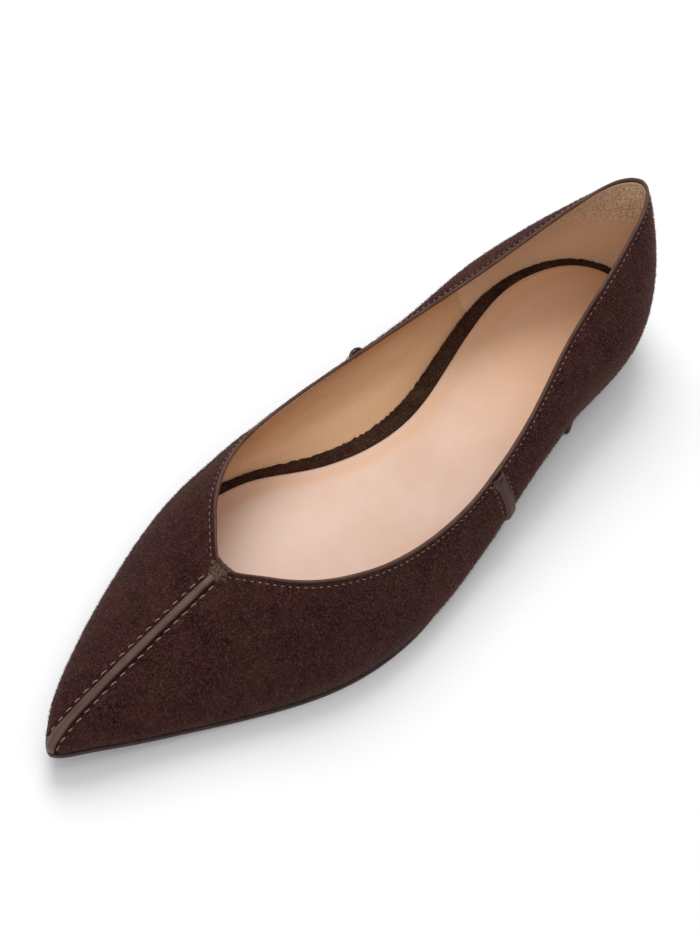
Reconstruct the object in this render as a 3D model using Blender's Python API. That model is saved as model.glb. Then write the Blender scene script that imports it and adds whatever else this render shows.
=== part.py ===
"""A left women's ballet flat with a pointed toe: suede upper, bound V topline, low covered heel.

The shoe is drawn in last coordinates, in millimetres: x is positive on the outer (lateral) side, y runs
from the heel seat at 0 to the toe, and z is the height over the floor.  place() turns these into the
object's frame, in metres: toe towards -Y, +Z up, origin on the floor under the middle of the shoe.
"""

import math

import bmesh
import bpy
import numpy as np

# Driving dimensions of the last, in millimetres.
SOLE_LENGTH = 254.0
HEEL_SEAT_HEIGHT = 10.7
TOE_SPRING = 6.5
UPPER_WALL = 1.8
TOPLINE_WALL = 1.2
SOLE_THICKNESS = 2.1
SOLE_WELT = 0.6
SOFT_EDGE = 0.5
GAP = 0.3
LASTING_MARGIN = 5.0
HEEL_BREAST_Y = 56.0
HEEL_HALF_WIDTH = 26.0
TOP_LIFT_THICKNESS = 2.4
FLAP_THICKNESS = 2.0
FLAP_TURN = 2.5
FLAP_OVERHANG = 3.0
INSOLE_CROWN = 0.6

# Trim, in millimetres.
BINDING_LEATHER = 0.45
BINDING_DEPTH = 1.3
BINDING_SPLAY = 0.2
STRIP_HALF_WIDTH = 1.4
STRIP_RAISE = 1.0
TAB_HALF_WIDTH = 2.0
TAB_RAISE = 1.4
TAB_LATERAL_TOP_Y = 106.5
TAB_LATERAL_FOOT_Y = 102.5
TAB_MEDIAL_TOP_Y = 103.0
TAB_MEDIAL_FOOT_Y = 100.0
ACROSS_STRIP = (-1.0, -0.6, 0.0, 0.6, 1.0)
STRIP_SHOULDER = (0.55, 0.95, 1.0, 0.95, 0.55)

# How finely the forms are divided, and how much closer the sections stand at toe and heel.
SECTIONS_AROUND = 100
STEPS_UP_WALL = 9
CROWDED_ENDS = 0.6

# The origin's place in last coordinates, the middle of the shoe's outline, and the spine of the sole.
CENTRE_X = 3.75
CENTRE_Y = 125.9
SPINE_X = 3.6

# One row for each section of the upper, from toe to heel.  The foot columns lie on the feather line, where
# upper and sole meet, and the top columns on the topline.  lat and med are distances to the outer and the
# inner side of the line from heel to toe.  The wall leaves the feather line outwards by flare and upwards by
# rise, and comes to the topline from lean outside it and drop below it.
SECTION_COLUMNS = ("foot_y", "foot_lat", "foot_med", "top_y", "top_lat", "top_med", "top_z",
                   "flare_lat", "flare_med", "rise", "lean_lat", "lean_med", "drop")
SECTIONS = {
    "toe_tip":      (254.0,  0.8,  0.0, 190.8,  0.7,  0.0, 31.6, 1.5,  1.5,  9.0, 34.0, 34.0,  7.0),
    "toe_corner":   (251.9,  3.7,  2.6, 189.9,  2.6,  1.0, 31.9, 1.5,  1.5,  9.0, 33.0, 33.0,  7.0),
    "toe_point":    (247.6,  6.3,  6.8, 188.9,  4.6,  2.7, 32.3, 1.6,  1.6,  9.2, 31.0, 31.0,  7.5),
    "toe_side":     (241.0, 10.0, 11.6, 187.4,  7.2,  4.8, 32.8, 1.8,  1.8,  9.5, 28.0, 28.0,  8.0),
    "vamp_front":   (222.0, 20.2, 22.0, 183.4, 13.7,  9.4, 34.0, 2.2,  2.2, 10.0, 20.0, 20.0,  9.0),
    "vamp_back":    (199.0, 32.2, 31.3, 176.2, 22.5, 17.0, 34.6, 2.6,  2.6, 11.0, 13.0, 13.0,  9.5),
    "ball_front":   (177.0, 41.0, 36.0, 163.8, 29.6, 25.0, 33.0, 3.0,  3.5, 12.0,  8.0,  8.0,  9.5),
    "ball_back":    (152.0, 44.0, 31.5, 147.0, 33.6, 29.8, 30.0, 3.2,  7.5,  9.0,  6.0,  6.0,  9.0),
    "joint":        (128.0, 40.8, 17.8, 126.0, 34.2, 31.2, 28.0, 5.2, 13.0,  6.0,  4.5,  5.0,  8.5),
    "waist":        (105.0, 34.8, 13.0, 106.0, 31.8, 29.6, 29.2, 8.0, 11.0,  6.5,  4.5,  6.5,  8.5),
    "arch":         ( 82.0, 30.4, 16.0,  84.0, 27.0, 25.0, 34.8, 7.0,  8.5,  8.5,  7.0, 10.5,  9.0),
    "heel_breast":  ( 58.0, 28.0, 22.5,  60.0, 19.6, 19.2, 42.5, 5.5,  5.5, 11.0, 10.0, 17.0, 10.5),
    "heel_side":    ( 34.0, 26.5, 25.2,  36.0, 14.5, 14.4, 50.3, 4.5,  4.5, 13.0, 12.0, 16.0, 13.0),
    "heel_quarter": ( 13.0, 20.0, 19.5,  17.5, 10.0, 10.0, 56.8, 3.8,  3.8, 14.0, 11.5, 12.0, 15.0),
    "heel_corner":  (  3.5, 10.8, 10.8,   7.0,  5.8,  5.8, 60.0, 3.8,  3.8, 14.5,  9.0,  9.0, 17.5),
    "heel_back":    (  0.0,  0.0,  0.0,   2.8,  0.0,  0.0, 61.0, 3.8,  3.8, 14.5,  8.0,  8.0, 18.0),
}

# The underside of the sole: distance from the heel, height over the floor.
SEAT_UNDERSIDE = HEEL_SEAT_HEIGHT - SOLE_THICKNESS - GAP
SOLE_PROFILE = ((0.0, SEAT_UNDERSIDE), (58.0, SEAT_UNDERSIDE), (75.0, 7.2), (100.0, 3.8), (122.0, 1.0),
                (142.0, 0.0), (185.0, 0.0), (205.0, 0.7), (230.0, 3.2), (254.0, TOE_SPRING),
                (256.0, TOE_SPRING))

# The sole's edge against the feather line: proud of it round the toe, tucked under it at the waist.
SOLE_EDGE = ((50.0, -2.2), (70.0, -3.0), (100.0, -3.0), (130.0, -0.8), (155.0, 0.4), (180.0, SOLE_WELT),
             (256.0, SOLE_WELT))

# The heel and its top lift, level by level: height, how far drawn in at the sides and at the back.
HEEL_LEVELS = ((HEEL_SEAT_HEIGHT - GAP, 0.4, 0.4), (7.5, 0.8, 1.3), (TOP_LIFT_THICKNESS + GAP, 1.8, 3.6))
TOP_LIFT_LEVELS = ((TOP_LIFT_THICKNESS, 1.9, 3.7), (0.4, 2.5, 4.6), (0.0, 3.0, 5.1))

# The insole: distance from the heel, thickness over the lasting margin.
INSOLE_THICKNESS = ((0.0, 3.4), (60.0, 3.2), (105.0, 2.1), (254.0, 1.9))

# The suede rim round the insole: distance from the heel, its width on the insole and its height at the wall.
RIM_WIDTH = ((0.0, 1.5), (30.0, 2.5), (60.0, 4.8), (105.0, 6.5), (130.0, 6.0), (155.0, 3.0), (200.0, 2.5),
             (254.0, 1.2))
RIM_HEIGHT = ((0.0, 1.0), (60.0, 0.8), (105.0, 0.6), (150.0, 0.8), (254.0, 0.8))


def rising_curve(rows, at):
    """A smooth curve through (position, value) rows that never overshoots them, read at given positions."""
    x, y = np.array(rows, float).T
    step, slope = np.diff(x), np.diff(y) / np.diff(x)
    bend = np.zeros(len(x))
    inside = slope[:-1] * slope[1:] > 0
    before, after = 2 * step[1:] + step[:-1], step[1:] + 2 * step[:-1]
    with np.errstate(divide="ignore", invalid="ignore"):
        mean = (before + after) / (before / slope[:-1] + after / slope[1:])
    bend[1:-1][inside] = mean[inside]
    at = np.clip(np.asarray(at, float), x[0], x[-1])
    k = np.clip(np.searchsorted(x, at, side="right") - 1, 0, len(step) - 1)
    t = (at - x[k]) / step[k]
    return ((1 + 2 * t) * (1 - t) ** 2 * y[k] + t * (1 - t) ** 2 * step[k] * bend[k]
            + t * t * (3 - 2 * t) * y[k + 1] + t * t * (t - 1) * step[k] * bend[k + 1])


def sole_underside(y):
    return rising_curve(SOLE_PROFILE, y)


def feather_height(y):
    """Height of the upper's lower edge, which sits on the sole."""
    return sole_underside(y) + SOLE_THICKNESS + GAP


def section_loop():
    """Every section once round the shoe: toe, outer side, heel, inner side.  Columns: foot x, foot y, top x,
    top y, top z, flare, rise, lean, drop."""
    table = [dict(zip(SECTION_COLUMNS, row)) for row in SECTIONS.values()]

    def row(s, side):
        end = "lat" if side > 0 else "med"
        return [side * s["foot_" + end], s["foot_y"], side * s["top_" + end], s["top_y"], s["top_z"],
                s["flare_" + end], s["rise"], s["lean_" + end], s["drop"]]

    return np.array([row(s, 1) for s in table] + [row(s, -1) for s in table[-2:0:-1]])


class ClosedSpline:
    """A smooth closed curve through rows of numbers, by distance along the first columns."""

    def __init__(self, rows, measured):
        self.rows = np.vstack([rows, rows[:1]])
        self.step = np.linalg.norm(np.diff(self.rows[:, :measured], axis=0), axis=1)
        self.at = np.concatenate([[0.0], np.cumsum(self.step)])
        count = len(rows)
        matrix, right = np.zeros((count, count)), np.zeros(rows.shape)
        for i in range(count):
            before, after = self.step[i - 1], self.step[i]
            matrix[i, i - 1] += 1 / before
            matrix[i, i] += 2 / before + 2 / after
            matrix[i, (i + 1) % count] += 1 / after
            right[i] = 3 * ((rows[i] - rows[i - 1]) / before ** 2
                            + (rows[(i + 1) % count] - rows[i]) / after ** 2)
        bend = np.linalg.solve(matrix, right)
        self.bend = np.vstack([bend, bend[:1]])

    def __call__(self, position):
        s = np.mod(np.asarray(position, float), self.at[-1])
        k = np.clip(np.searchsorted(self.at, s, side="right") - 1, 0, len(self.step) - 1)
        h = self.step[k][..., None]
        t = ((s - self.at[k]) / self.step[k])[..., None]
        return ((1 + 2 * t) * (1 - t) ** 2 * self.rows[k] + t * (1 - t) ** 2 * h * self.bend[k]
                + t * t * (3 - 2 * t) * self.rows[k + 1] + t * t * (t - 1) * h * self.bend[k + 1])


LOOP = ClosedSpline(section_loop(), measured=5)
HEEL_POSITION = LOOP.at[len(SECTIONS) - 1]
ROUND = LOOP.at[-1]


def positions_around(count):
    """Places round the shoe from toe to heel and back, closer together at both ends, with the toe first."""
    share = np.linspace(0.0, 1.0, count // 2 + 1)
    share = share - CROWDED_ENDS * np.sin(2 * math.pi * share) / (2 * math.pi)
    outer = share * HEEL_POSITION
    inner = HEEL_POSITION + share[1:-1] * (ROUND - HEEL_POSITION)
    return np.concatenate([outer, inner])


def unit(v):
    return v / np.maximum(np.linalg.norm(v, axis=-1, keepdims=True), 1e-9)


def outward(position):
    """The level direction out of the shoe, square to the feather line."""
    ahead, behind = LOOP(np.asarray(position) + 0.5), LOOP(np.asarray(position) - 0.5)
    along = unit((ahead - behind)[..., :2])
    return np.stack([-along[..., 1], along[..., 0]], axis=-1)


def wall(position, level):
    """A point of the upper's outer face: level 0 is the feather line and 1 the topline."""
    position, level = np.broadcast_arrays(np.asarray(position, float), np.asarray(level, float))
    row = LOOP(position)
    foot = np.concatenate([row[..., :2], feather_height(row[..., 1])[..., None]], axis=-1)
    top = row[..., 2:5]
    out = outward(position)
    flare, rise, lean, drop = (row[..., k:k + 1] for k in (5, 6, 7, 8))
    spread = (foot - top)[..., :2]
    fullness = np.clip(np.sum(spread * out, axis=-1, keepdims=True) / 8.0, 0.0, 1.0)
    reach = unit(10.0 * out + fullness * spread)
    first = foot + np.concatenate([out * flare, rise], axis=-1)
    second = top + np.concatenate([reach * lean, -drop], axis=-1)
    t = level[..., None]
    return ((1 - t) ** 3 * foot + 3 * t * (1 - t) ** 2 * first + 3 * t * t * (1 - t) * second + t ** 3 * top)


def wall_normal(position, level):
    """The direction out of the upper's outer face."""
    level = np.asarray(level, float)
    low, high = np.clip(level - 0.01, 0, 1), np.clip(level + 0.01, 0, 1)
    up = wall(position, high) - wall(position, low)
    along = wall(np.asarray(position) + 0.4, level) - wall(np.asarray(position) - 0.4, level)
    return unit(np.cross(up, along))


def offset_wall(position, level, distance):
    """A point off the upper's outer face: outside it if distance is positive."""
    return wall(position, level) + wall_normal(position, level) * np.asarray(distance, float)[..., None]


def wall_thickness(level):
    """The upper's thickness, pared down over the last part of the wall to the topline."""
    rise = np.clip((np.asarray(level, float) - 0.78) / 0.2, 0.0, 1.0)
    return UPPER_WALL - (UPPER_WALL - TOPLINE_WALL) * rise * rise * (3 - 2 * rise)


def level_at_height(position, height_at, distance):
    """The level where the wall, moved by distance, first stands at the height height_at gives for its y."""
    levels = np.linspace(0.0, 1.0, 161)
    found = []
    for s in position:
        points = offset_wall(np.full(levels.shape, s), levels, distance)
        over = points[:, 2] - height_at(points[:, 1])
        k = max(1, int(np.argmax(over >= 0)))
        past = np.clip(over[k] / (over[k] - over[k - 1]), 0.0, 1.0)
        found.append(levels[k] - (levels[k] - levels[k - 1]) * past)
    return np.array(found)


def wall_at_height(position, height_at, distance):
    """The points at that level, on the wall moved by distance."""
    return offset_wall(position, level_at_height(position, height_at, distance), distance)


def inward_step(point, distance):
    """The point moved level by distance towards the spine of the sole."""
    spine = np.stack([np.full(len(point), SPINE_X), np.clip(point[:, 1], 28.0, 222.0)], axis=-1)
    step = unit(spine - point[:, :2]) * distance
    return point + np.concatenate([step, np.zeros((len(point), 1))], axis=-1)


def place(points):
    """Last coordinates in millimetres to the object's frame in metres."""
    p = np.asarray(points, float)
    return np.stack([p[..., 0] - CENTRE_X, CENTRE_Y - p[..., 1], p[..., 2]], axis=-1) * 0.001


def skin(name, sections, material, closed, sharp_deg=40.0):
    """One solid skinned through sections, each a closed outline of the same number of points."""
    mesh = bmesh.new()
    rows = [[mesh.verts.new(p) for p in place(section)] for section in sections]
    count = len(rows[0])
    for a, b in zip(rows, rows[1:] + rows[:1] if closed else rows[1:]):
        for k in range(count):
            mesh.faces.new((a[k], a[(k + 1) % count], b[(k + 1) % count], b[k]))
    if not closed:
        mesh.faces.new(rows[0][::-1])
        mesh.faces.new(rows[-1])
    bmesh.ops.recalc_face_normals(mesh, faces=mesh.faces)
    data = bpy.data.meshes.new(name)
    mesh.to_mesh(data)
    mesh.free()
    data.shade_smooth()
    data.set_sharp_from_angle(angle=math.radians(sharp_deg))
    data.materials.append(material)
    obj = bpy.data.objects.new(name, data)
    bpy.context.scene.collection.objects.link(obj)
    return obj


def finish(name, colour, roughness):
    material = bpy.data.materials.new(name)
    material.use_nodes = True
    shader = material.node_tree.nodes["Principled BSDF"]
    shader.inputs["Base Color"].default_value = (*colour, 1.0)
    shader.inputs["Roughness"].default_value = roughness
    return material


def upper(material):
    """The hollow upper: wall from feather line to topline, its lasting margin turned in under the foot."""
    s = positions_around(SECTIONS_AROUND)
    levels = np.linspace(0.0, 1.0, STEPS_UP_WALL + 1)
    outer = [wall(s, np.full(s.shape, t)) for t in levels]
    first = level_at_height(s, lambda y: feather_height(y) + UPPER_WALL, -UPPER_WALL)
    rising = [first + (1.0 - first) * t for t in levels[::-1]]
    inner = [offset_wall(s, level, -wall_thickness(level)) for level in rising]
    foot = outer[0]
    lift = np.array([0.0, 0.0, UPPER_WALL])
    margin = inward_step(foot, LASTING_MARGIN + UPPER_WALL)
    margin[:, 2] = feather_height(margin[:, 1])
    rings = outer + inner + [margin + lift, margin]
    return skin("upper", np.stack(rings, axis=1), material, closed=True)


def topline_binding(material):
    """The folded leather edge over the topline.  Its inner lap splays to clear the thickening wall."""
    s = positions_around(SECTIONS_AROUND)
    top = wall(s, np.ones(s.shape))
    out = wall_normal(s, np.ones(s.shape))
    up = unit(top - wall(s, np.full(s.shape, 0.97)))
    near, far = GAP, GAP + BINDING_LEATHER
    back_near, back_far = -TOPLINE_WALL - near, -TOPLINE_WALL - far
    outline = ((far, -BINDING_DEPTH), (far, 0.4), (0.45, 0.8), (-TOPLINE_WALL / 2, 0.95),
               (-TOPLINE_WALL - 0.45, 0.8), (back_far, 0.4), (back_far - BINDING_SPLAY, -BINDING_DEPTH),
               (back_near - BINDING_SPLAY, -BINDING_DEPTH), (back_near, near), (near, near),
               (near, -BINDING_DEPTH))
    rings = [top + out * a + up * b for a, b in outline]
    return skin("topline_binding", np.stack(rings, axis=1), material, closed=True)


def side_points(count):
    """Matching places on the outer and the inner side, from toe to heel, leaving out the two ends."""
    s = positions_around(count)
    half = count // 2
    return s[1:half], s[:half:-1]


def insole_underside(y):
    return feather_height(y) + UPPER_WALL + GAP


def insole_top(y):
    return insole_underside(y) + rising_curve(INSOLE_THICKNESS, y)


def insole(material):
    """The padded insole, filled down to the sole inside the lasting margin."""
    clear = UPPER_WALL + GAP
    sides = side_points(SECTIONS_AROUND)
    bottoms = [wall_at_height(s, insole_underside, -clear) for s in sides]
    tops = [wall_at_height(s, insole_top, -clear) for s in sides]
    inset = LASTING_MARGIN + UPPER_WALL + 1.2
    rows = []
    for bottom, top in zip(zip(*bottoms), zip(*tops)):
        width = np.linalg.norm(bottom[0] - bottom[1])
        share = min(inset / width, 0.42)
        filled = np.clip((width - 16.0) / 10.0, 0.0, 1.0) * np.clip((bottom[0][1] - 12.0) / 6.0, 0.0, 1.0)
        drop = np.array([0.0, 0.0, max(0.15, filled * clear)])
        step = [bottom[a] + (bottom[1 - a] - bottom[a]) * share for a in (0, 1)]
        rise = INSOLE_CROWN * min(1.0, width / 40.0)
        across = [top[1] + (top[0] - top[1]) * t + np.array([0.0, 0.0, rise * c])
                  for t, c in ((0.2, 0.0), (0.35, 0.75), (0.5, 1.0), (0.65, 0.75), (0.8, 0.0))]
        rows.append([top[0], bottom[0], step[0], step[0] - drop, step[1] - drop, step[1],
                     bottom[1], top[1], *across])
    return skin("insole", rows, material, closed=False)


def insole_rim(material):
    """The suede rim that closes the corner between the insole and the wall."""
    s = positions_around(SECTIONS_AROUND)
    clear = UPPER_WALL + GAP
    low = wall_at_height(s, lambda y: insole_top(y) + GAP, -clear)
    high = wall_at_height(s, lambda y: insole_top(y) + GAP + rising_curve(RIM_HEIGHT, y), -clear)
    inside = low + (inward_step(low, 1.0) - low) * rising_curve(RIM_WIDTH, low[:, 1])[:, None]
    inside[:, 2] = insole_top(inside[:, 1]) + GAP
    lip = np.array([0.0, 0.0, 0.5])
    middle = (inside + lip + high) / 2 + np.array([0.0, 0.0, 0.15])
    outline = (low, high, middle, inside + lip, inside)
    return skin("insole_rim", np.stack(outline, axis=1), material, closed=True)


def edge_x(y, side, edge=((0.0, 0.0), (SOLE_LENGTH, 0.0))):
    """x of the feather line, moved out by edge, at y from the heel, on the outer (1) or inner (-1) side."""
    half = np.linspace(0.0 if side > 0 else ROUND, HEEL_POSITION, 400)
    line = LOOP(half)[:, :2] + outward(half) * rising_curve(edge, LOOP(half)[:, 1])[:, None]
    return float(np.interp(y, line[::-1, 1], line[::-1, 0]))


def outsole(material):
    """The thin leather sole, whose end turns down over the breast of the heel."""
    tip = SOLE_LENGTH + SOLE_WELT
    toe = tip - np.array([0.05, 0.5, 1.4, 2.8, 5.0, 8.5])
    body = np.concatenate([np.arange(240.0, 185.0, -6.0), np.arange(185.0, 150.0, -7.0),
                           np.arange(150.0, HEEL_BREAST_Y + 8.0, -8.0)])
    rows = []
    for y in np.concatenate([toe, body, [HEEL_BREAST_Y + FLAP_THICKNESS + FLAP_TURN + 2.0]]):
        low = float(sole_underside(y))
        high = low + SOLE_THICKNESS
        left, right = edge_x(y, -1, SOLE_EDGE), edge_x(y, 1, SOLE_EDGE)
        soft = min(SOFT_EDGE, (right - left) / 6)
        rows.append([(left, y, low + soft), (left + soft, y, low), (right - soft, y, low),
                     (right, y, low + soft), (right, y, high), (left, y, high)])
    left = edge_x(HEEL_BREAST_Y, -1, SOLE_EDGE) - FLAP_OVERHANG
    right = edge_x(HEEL_BREAST_Y, 1, SOLE_EDGE) + FLAP_OVERHANG
    face = HEEL_BREAST_Y + GAP + FLAP_THICKNESS
    centre = np.array([face + FLAP_TURN, SEAT_UNDERSIDE - FLAP_TURN])
    for angle in (30.0, 60.0, 90.0):
        turned = np.array([-math.sin(math.radians(angle)), math.cos(math.radians(angle))])
        front, back = centre + FLAP_TURN * turned, centre + (FLAP_TURN + FLAP_THICKNESS) * turned
        rows.append(flap_row(left, right, front, back))
    foot = np.array([face, 2 * GAP])
    rows.append(flap_row(left + SOFT_EDGE, right - SOFT_EDGE, foot, foot - np.array([FLAP_THICKNESS, 0.0])))
    return skin("outsole", rows, material, closed=False)


def flap_row(left, right, front, back):
    """One section across the flap, with its front corners softened."""
    soft = SOFT_EDGE
    middle = (front + back) / 2
    return [(left, *middle), (left + soft, *front), (right - soft, *front), (right, *middle),
            (right - 0.1, *back), (left + 0.1, *back)]


def heel_rows(levels):
    """Sections of the heel from the breast to the back, closer together where the back turns round."""
    blunt_back = 0.004
    rows = []
    for share in 1.0 + blunt_back - np.sin(np.linspace(0.0, math.pi / 2, 22)):
        row = []
        for side in (1, -1):
            feather = edge_x(share * HEEL_BREAST_Y, side)
            points = [(feather * (1 - sides / HEEL_HALF_WIDTH), back + (HEEL_BREAST_Y - back) * share, height)
                      for height, sides, back in levels]
            row += points if side > 0 else points[::-1]
        rows.append(row)
    return rows


def heel(material):
    """The covered heel block under the seat, drawn in towards the floor."""
    return skin("heel", heel_rows(HEEL_LEVELS), material, closed=False)


def top_lift(material):
    """The hard-wearing tip under the heel."""
    return skin("top_lift", heel_rows(TOP_LIFT_LEVELS), material, closed=False)


def position_where(axis, value, level, low, high):
    """The place between low and high round the shoe where the wall at this level crosses x or y = value."""
    for _ in range(40):
        middle = (low + high) / 2
        if (wall(middle, level)[axis] < value) == (wall(low, level)[axis] < value):
            low = middle
        else:
            high = middle
    return (low + high) / 2


def raised_strip(name, lines, raise_by, material):
    """A strip laid on the upper.  lines holds, for each step along it, (position, level) pairs across it."""
    last = len(lines) - 1
    rows = []
    for k, line in enumerate(lines):
        s, t = np.array(line).T
        thinned = np.interp(min(k, last - k), (0, 2), (0.6, 1.0))
        under = offset_wall(s, t, GAP)
        over = offset_wall(s, t, GAP + raise_by * thinned * np.array(STRIP_SHOULDER))
        rows.append([*over, *under[::-1]])
    return skin(name, rows, material, closed=False, sharp_deg=50.0)


def vamp_strip(material):
    """The leather strip over the seam from the throat to the toe."""
    lines = []
    near = 0.12 * ROUND
    for level in np.linspace(0.05, 0.98, 22):
        middle = wall(0.0, level)[0]
        line = [(position_where(0, middle + share * STRIP_HALF_WIDTH, level, -near, near), level)
                for share in ACROSS_STRIP]
        lines.append(line)
    return raised_strip("vamp_strip", lines, STRIP_RAISE, material)


def side_strip(name, top_y, foot_y, side, material):
    """The leather tab over the side seam, from the topline to the sole."""
    low, high = (0.2 * ROUND, HEEL_POSITION) if side > 0 else (HEEL_POSITION, 0.8 * ROUND)
    lines = []
    for level in np.linspace(0.05, 0.93, 11):
        y = foot_y + (top_y - foot_y) * level
        line = [(position_where(1, y - side * share * TAB_HALF_WIDTH, level, low, high), level)
                for share in ACROSS_STRIP]
        lines.append(line)
    return raised_strip(name, lines, TAB_RAISE, material)


def main():
    for obj in list(bpy.data.objects):
        bpy.data.objects.remove(obj)
    suede = finish("brown_suede", (0.045, 0.024, 0.018), 0.95)
    leather = finish("brown_leather", (0.085, 0.053, 0.042), 0.5)
    sock = finish("nude_leather", (0.70, 0.50, 0.39), 0.6)
    sole = finish("dark_sole", (0.03, 0.018, 0.015), 0.5)
    rubber = finish("black_rubber", (0.02, 0.018, 0.018), 0.6)
    outsole(sole)
    heel(suede)
    top_lift(rubber)
    upper(suede)
    insole(sock)
    insole_rim(suede)
    topline_binding(leather)
    vamp_strip(leather)
    side_strip("side_strip_lateral", TAB_LATERAL_TOP_Y, TAB_LATERAL_FOOT_Y, 1, leather)
    side_strip("side_strip_medial", TAB_MEDIAL_TOP_Y, TAB_MEDIAL_FOOT_Y, -1, leather)


main()
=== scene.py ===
"""Looks of a left ballet flat: napped suede, bound topline, lining, stitching, sole and light.

Shapes are drawn in last coordinates, in millimetres, as the solids are: x is positive on the outer (lateral)
side, y runs from the heel at 0 to the toe and z is the height over the floor.  place() turns them into the
frame's metres.
"""

import math

import bmesh
import bpy
import numpy as np
from mathutils import Matrix, Vector


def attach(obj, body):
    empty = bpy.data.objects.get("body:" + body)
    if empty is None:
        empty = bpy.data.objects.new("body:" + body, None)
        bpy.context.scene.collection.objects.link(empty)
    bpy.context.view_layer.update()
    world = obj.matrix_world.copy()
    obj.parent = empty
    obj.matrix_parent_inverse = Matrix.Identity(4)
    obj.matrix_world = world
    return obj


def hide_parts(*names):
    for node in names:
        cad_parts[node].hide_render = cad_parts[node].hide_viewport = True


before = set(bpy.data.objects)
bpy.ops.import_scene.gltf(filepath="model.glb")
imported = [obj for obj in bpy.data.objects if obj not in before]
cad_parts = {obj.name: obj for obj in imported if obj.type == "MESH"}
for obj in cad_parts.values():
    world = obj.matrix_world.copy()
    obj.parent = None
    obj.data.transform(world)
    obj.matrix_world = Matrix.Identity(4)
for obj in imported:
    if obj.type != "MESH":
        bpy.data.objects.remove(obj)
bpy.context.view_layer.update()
RANDOM = np.random.default_rng(31)

# The last: the driving dimensions and tables that the solids have too.
SOLE_LENGTH = 254.0
HEEL_SEAT_HEIGHT = 10.7
TOE_SPRING = 6.5
UPPER_WALL = 1.8
SOLE_THICKNESS = 2.1
SOLE_WELT = 0.6
GAP = 0.3
LASTING_MARGIN = 5.0
HEEL_BREAST_Y = 56.0
HEEL_HALF_WIDTH = 26.0
TOP_LIFT_THICKNESS = 2.4
FLAP_THICKNESS = 2.0
FLAP_TURN = 2.5
CENTRE_X = 3.75
CENTRE_Y = 125.9
SPINE_X = 3.6

# Columns: where the section stands on the feather line and on the topline, and how the wall swells between.
SECTION_COLUMNS = ("foot_y", "foot_lat", "foot_med", "top_y", "top_lat", "top_med", "top_z",
                   "flare_lat", "flare_med", "rise", "lean_lat", "lean_med", "drop")
SECTIONS = {
    "toe_tip":      (254.0,  0.8,  0.0, 190.8,  0.7,  0.0, 31.6, 1.5,  1.5,  9.0, 34.0, 34.0,  7.0),
    "toe_corner":   (251.9,  3.7,  2.6, 189.9,  2.6,  1.0, 31.9, 1.5,  1.5,  9.0, 33.0, 33.0,  7.0),
    "toe_point":    (247.6,  6.3,  6.8, 188.9,  4.6,  2.7, 32.3, 1.6,  1.6,  9.2, 31.0, 31.0,  7.5),
    "toe_side":     (241.0, 10.0, 11.6, 187.4,  7.2,  4.8, 32.8, 1.8,  1.8,  9.5, 28.0, 28.0,  8.0),
    "vamp_front":   (222.0, 20.2, 22.0, 183.4, 13.7,  9.4, 34.0, 2.2,  2.2, 10.0, 20.0, 20.0,  9.0),
    "vamp_back":    (199.0, 32.2, 31.3, 176.2, 22.5, 17.0, 34.6, 2.6,  2.6, 11.0, 13.0, 13.0,  9.5),
    "ball_front":   (177.0, 41.0, 36.0, 163.8, 29.6, 25.0, 33.0, 3.0,  3.5, 12.0,  8.0,  8.0,  9.5),
    "ball_back":    (152.0, 44.0, 31.5, 147.0, 33.6, 29.8, 30.0, 3.2,  7.5,  9.0,  6.0,  6.0,  9.0),
    "joint":        (128.0, 40.8, 17.8, 126.0, 34.2, 31.2, 28.0, 5.2, 13.0,  6.0,  4.5,  5.0,  8.5),
    "waist":        (105.0, 34.8, 13.0, 106.0, 31.8, 29.6, 29.2, 8.0, 11.0,  6.5,  4.5,  6.5,  8.5),
    "arch":         ( 82.0, 30.4, 16.0,  84.0, 27.0, 25.0, 34.8, 7.0,  8.5,  8.5,  7.0, 10.5,  9.0),
    "heel_breast":  ( 58.0, 28.0, 22.5,  60.0, 19.6, 19.2, 42.5, 5.5,  5.5, 11.0, 10.0, 17.0, 10.5),
    "heel_side":    ( 34.0, 26.5, 25.2,  36.0, 14.5, 14.4, 50.3, 4.5,  4.5, 13.0, 12.0, 16.0, 13.0),
    "heel_quarter": ( 13.0, 20.0, 19.5,  17.5, 10.0, 10.0, 56.8, 3.8,  3.8, 14.0, 11.5, 12.0, 15.0),
    "heel_corner":  (  3.5, 10.8, 10.8,   7.0,  5.8,  5.8, 60.0, 3.8,  3.8, 14.5,  9.0,  9.0, 17.5),
    "heel_back":    (  0.0,  0.0,  0.0,   2.8,  0.0,  0.0, 61.0, 3.8,  3.8, 14.5,  8.0,  8.0, 18.0),
}

# Rows of (distance from the heel, value).
SEAT_UNDERSIDE = HEEL_SEAT_HEIGHT - SOLE_THICKNESS - GAP
SOLE_PROFILE = ((0.0, SEAT_UNDERSIDE), (58.0, SEAT_UNDERSIDE), (75.0, 7.2), (100.0, 3.8), (122.0, 1.0),
                (142.0, 0.0), (185.0, 0.0), (205.0, 0.7), (230.0, 3.2), (254.0, TOE_SPRING),
                (256.0, TOE_SPRING))
SOLE_EDGE = ((50.0, -2.2), (70.0, -3.0), (100.0, -3.0), (130.0, -0.8), (155.0, 0.4), (180.0, SOLE_WELT),
             (256.0, SOLE_WELT))
INSOLE_THICKNESS = ((0.0, 3.4), (60.0, 3.2), (105.0, 2.1), (254.0, 1.9))
RIM_WIDTH = ((0.0, 1.5), (30.0, 2.5), (60.0, 4.8), (105.0, 6.5), (130.0, 6.0), (155.0, 3.0), (200.0, 2.5),
             (254.0, 1.2))

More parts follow.
